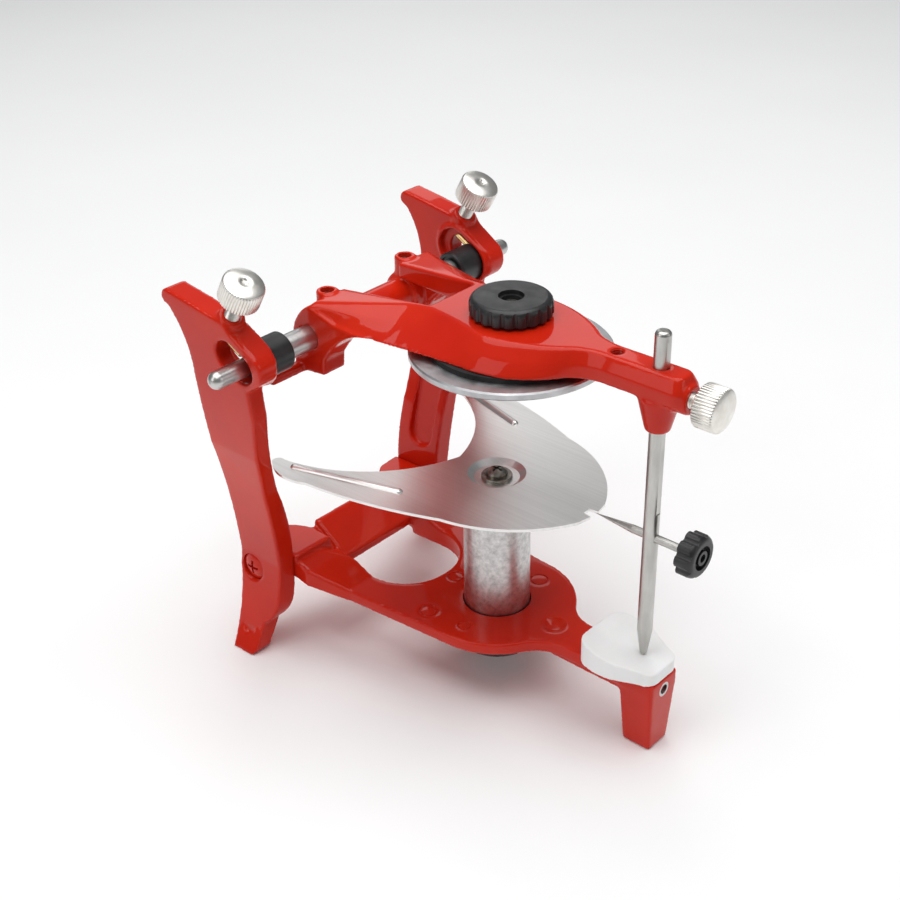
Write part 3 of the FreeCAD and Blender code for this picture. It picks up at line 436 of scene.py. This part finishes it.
# ---------------------------------------------------------------- the pieces

SIDES = (("left", -1), ("right", 1))

# Heights of the base's top and of the column's seat in it.
BASE_TOP, COLUMN_SEAT = 28.0, 24.5

# Ejector marks of the base: place from the column's axis, outer and inner radius.
CAST_MARKS = ((-21.5, 12.7, 3.6, 2.5), (21.5, 12.7, 3.6, 2.5), (-20.0, -2.3, 2.6, 1.7),
              (17.5, -4.8, 3.4, 2.6), (0.0, 19.0, 3.2, 2.2))

# Radii of the holes whose depth follows from the pieces in them.
COLUMN_RADIUS, INSERT_RADIUS = 11.9, 2.6
PIN_RADIUS, ARM_THREAD_RADIUS, SET_SCREW_RADIUS = 2.55, 2.0, 2.25
PIN_BOSS_LOW, PIN_CUT_LOW = 117.2, 112
PLUG_INSET, SEAT_INSET, BOSS_ABOVE_SCREW = 0.3, 0.1, 0.9
CUT_PAST = 4.0

# Holes that are measured from their own origin: radius, plugged stretch and cut stretch.
CLAMP_HOLE = {"radius": 2.55, "filled": (2.5, 10.6), "cut": (2.5, 16)}
SHAFT_HOLE = {"radius": 4.25, "filled": (-28.7, 28.7), "cut": (-34, 34)}
LOCK_HOLE = {"radius": 2.55, "filled": (-11, -4.4), "cut": (-11, 2)}
PLUNGER_HOLE = {"radius": 1.55, "filled": (1.4, 15.8), "cut": (-3, 16.1)}
POST_SCREW_SEAT = {"radius": 5.2, "filled": (42.4, 44.6), "cut": (42.4, 52)}


def in_mm(place):
    return Vector(place) / MM


def mount(name):
    return [item for item in frame["record"]["mounts"] if item["name"] == name][0]["pos_m"]


def span(node, origin, axis):
    """Where a CAD node begins and ends along an axis, in millimetres from the origin."""
    axis = Vector(axis).normalized()
    piece = NODES[node]
    reach = [(piece.matrix_world @ vertex.co - Vector(origin)).dot(axis) / MM
             for vertex in piece.data.vertices]
    return min(reach), max(reach)


def make_lower_casting():
    """Base with its ejector marks, the seat of the column and the seat of the steel insert."""
    column = centre("column")
    insert = centre("leg_thread_insert")
    depth = span("leg_thread_insert", insert, FORWARD)[1]
    marks = [Ring((column.x + dx * MM, column.y + dy * MM, BASE_TOP * MM), outer, inner)
             for dx, dy, outer, inner in CAST_MARKS]
    casting("lower_frame", voxel_mm=0.42, passes=30, marks=marks, holes=[
        Hole((column.x, column.y, 0), UP, COLUMN_RADIUS,
             (COLUMN_SEAT, BASE_TOP - SEAT_INSET), (COLUMN_SEAT, BASE_TOP + CUT_PAST)),
        Hole(insert, FORWARD, INSERT_RADIUS, (-depth, depth), (-depth, depth + CUT_PAST))])


def make_upper_casting():
    """Upper frame with the bores of the pin, the clamp screw, the shaft and the set screws."""
    pin, arm = centre("incisal_pin"), Vector(mount("arm_thread"))
    shaft, clamp = centre("condylar_shaft"), centre("front_clamp_screw")
    under_arm = in_mm(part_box("mounting_spacer")[1]).z
    top = in_mm(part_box("mounting_washer")[0]).z
    holes = [
        Hole((pin.x, pin.y, 0), UP, PIN_RADIUS,
             (PIN_BOSS_LOW, top - PLUG_INSET), (PIN_CUT_LOW, top + CUT_PAST)),
        Hole((arm.x, arm.y, 0), UP, ARM_THREAD_RADIUS,
             (under_arm + PLUG_INSET, top - PLUG_INSET), (under_arm - CUT_PAST, top + CUT_PAST),
             threaded=True),
        Hole((clamp.x, pin.y, clamp.z), FORWARD, **CLAMP_HOLE),
        Hole(shaft, RIGHT, **SHAFT_HOLE)]
    for side, _ in SIDES:
        screw = centre(side + "_shaft_set_screw")
        screw_low, screw_high = span(side + "_shaft_set_screw", (0, 0, 0), UP)
        holes.append(Hole((screw.x, screw.y, 0), UP, SET_SCREW_RADIUS,
                          (screw_low, screw_high + BOSS_ABOVE_SCREW), (screw_low, screw_high + CUT_PAST)))
    casting("upper_frame", voxel_mm=0.36, passes=44, holes=holes)


def make_post_castings():
    """Posts with the holes of the lock screw and the plunger, and the seat of the post screw."""
    for side, sign in SIDES:
        lock, screw = joint(side + "_lock_turn"), centre(side + "_post_screw")
        slide, plunger = joint(side + "_plunger_slide"), centre(side + "_return_plunger")
        casting(side + "_condylar_post", voxel_mm=0.40, passes=24, holes=[
            Hole(lock["pos_m"], lock["axis"], **LOCK_HOLE),
            Hole(plunger, slide["axis"], **PLUNGER_HOLE),
            Hole((0, screw.y, screw.z), (sign, 0, 0), **POST_SCREW_SEAT)])


def make_incisal_table():
    casting("incisal_table", voxel_mm=0.35, passes=8)


RIDGES, RIDGE_DEPTH = 44, 0.30
HEAD_RADIUS, DOME_HEIGHT = 6.8, 0.9
SHANK_RADIUS, NECK_RADIUS = 2.5, 2.15
COLLAR_RADIUS, COLLAR_HEIGHT = 4.1, 1.8


def knurl(angle):
    """Straight ridges round a screw head, with narrow grooves between them."""
    return (0.5 - 0.5 * math.cos(RIDGES * angle)) ** 1.6


def thumb_screw(node, head_length, collar, dimple):
    """Knurled screw with a threaded shank and a domed head."""
    turn = joint(node.replace("_screw", "") + "_turn")
    low, top = span(node, turn["pos_m"], turn["axis"])
    head, rim = top - head_length, top - DOME_HEIGHT
    neck = head - (COLLAR_HEIGHT if collar else 0)
    shank = [(0, low, 0), (SHANK_RADIUS - 0.4, low, 0)]
    shank += thread(SHANK_RADIUS, low + 0.5, neck - 0.4) + [(NECK_RADIUS, neck - 0.3, 0)]
    if collar:
        shank += [(COLLAR_RADIUS - 0.2, neck, 0), (COLLAR_RADIUS, neck + 0.2, 0), (COLLAR_RADIUS, head, 0)]
    else:
        shank += [(NECK_RADIUS, head, 0)]
    grip = [(HEAD_RADIUS - 0.5, head, 0), (HEAD_RADIUS - 0.1, head + 0.3, RIDGE_DEPTH),
            (HEAD_RADIUS, head + 0.4, RIDGE_DEPTH), (HEAD_RADIUS, rim - 0.7, RIDGE_DEPTH),
            (HEAD_RADIUS - 0.08, rim - 0.5, RIDGE_DEPTH), (HEAD_RADIUS - 0.4, rim - 0.15, 0)]
    dome = [(6.1, rim, 0), (5.2, rim + 0.32, 0), (4.2, rim + 0.58, 0), (3.0, top - 0.12, 0), (1.7, top, 0)]
    dome += [(1.3, top - 0.2, 0), (0.9, top - 0.6, 0), (0, top - 0.7, 0)] if dimple else [(0, top, 0)]
    screw = turned(node + "_knurled", turn["pos_m"], turn["axis"], shank + grip + dome,
                   sides=8 * RIDGES, wave=knurl)
    show(screw, node)


def make_screws():
    for side, _ in SIDES:
        thumb_screw(side + "_lock_screw", head_length=8.3, collar=True, dimple=True)
    thumb_screw("front_clamp_screw", head_length=8.15, collar=False, dimple=False)


def keep_cad_nodes():
    """CAD nodes that no new piece stands for get their material and softened edges."""
    for node in sorted(set(NODES) - REBUILT):
        piece = NODES[node]
        for slot in piece.material_slots:
            slot.material = MATERIALS[SLOT_OF[node]]
        soften_edges(piece, KNOB_EDGE if node.endswith("_knob") else FINE_EDGE)


# ---------------------------------------------------------------- stage, light and camera

LIGHT_AIM = Vector((0, 0, 0.08))
FLOOR_HALF = 6.0


def area_light(name, place, size, power):
    """A soft box of a size in metres that points at the middle of the object."""
    data = bpy.data.lights.new(name, "AREA")
    data.shape = "RECTANGLE"
    data.size, data.size_y = size
    data.energy = power
    light = bpy.data.objects.new(name, data)
    light.location = place
    light.rotation_mode = "QUATERNION"
    light.rotation_quaternion = (LIGHT_AIM - Vector(place)).to_track_quat("-Z", "Y")
    bpy.context.collection.objects.link(light)


def make_stage():
    floor_mesh = bpy.data.meshes.new("floor")
    corners = [(x * FLOOR_HALF, y * FLOOR_HALF, 0) for x, y in ((-1, -1), (1, -1), (1, 1), (-1, 1))]
    floor_mesh.from_pydata(corners, [], [(0, 1, 2, 3)])
    floor = bpy.data.objects.new("floor", floor_mesh)
    bpy.context.collection.objects.link(floor)
    shader = Shader("pale_floor", (0.97, 0.97, 0.97), 0.9, Specular_IOR_Level=0.1)
    shader.colour(shader.noise(6, 3), (0.3, (0.96, 0.96, 0.96)), (0.7, (0.98, 0.98, 0.98)))
    floor_mesh.materials.append(shader.material)

    world = bpy.data.worlds.new("studio")
    bpy.context.scene.world = world
    world.use_nodes = True
    background = world.node_tree.nodes["Background"]
    background.inputs["Color"].default_value = (0.96, 0.98, 1.0, 1)
    background.inputs["Strength"].default_value = 0.20

    area_light("overhead", (0.0, 0.0, 1.3), (1.5, 1.5), 18.5)
    area_light("left_box", (-0.85, 0.25, 0.55), (0.45, 0.7), 1.5)
    area_light("front_box", (0.35, -0.95, 0.50), (0.5, 0.4), 0.8)
    area_light("rear_box", (0.80, 0.85, 0.62), (0.60, 0.34), 0.75)
    bpy.context.scene.view_settings.view_transform = "Standard"


def make_camera():
    """The camera stands to the left of the front leg and looks down on the object."""
    azimuth, elevation, roll = math.radians(-48.5), math.radians(32.2), math.radians(-0.94)
    target, distance = Vector((0, 0.013, 0.060)), 0.511
    back = Vector((math.sin(azimuth) * math.cos(elevation), -math.cos(azimuth) * math.cos(elevation),
                   math.sin(elevation)))
    right = (-back).cross(Vector((0, 0, 1))).normalized()
    up = right.cross(-back)
    across = math.cos(roll) * right + math.sin(roll) * up
    upward = -math.sin(roll) * right + math.cos(roll) * up
    data = bpy.data.cameras.new("camera")
    data.sensor_width = 36
    data.lens = 59.56
    data.shift_x = -0.0144
    data.shift_y = 0.060
    data.clip_start, data.clip_end = 0.01, 50
    camera = bpy.data.objects.new("camera", data)
    camera.matrix_world = Matrix.Translation(target + back * distance) @ Matrix(
        (across, upward, back)).transposed().to_4x4()
    bpy.context.collection.objects.link(camera)
    bpy.context.scene.camera = camera


make_lower_casting()
make_upper_casting()
make_post_castings()
make_incisal_table()
make_screws()
keep_cad_nodes()
make_stage()
make_camera()
bpy.context.view_layer.update()
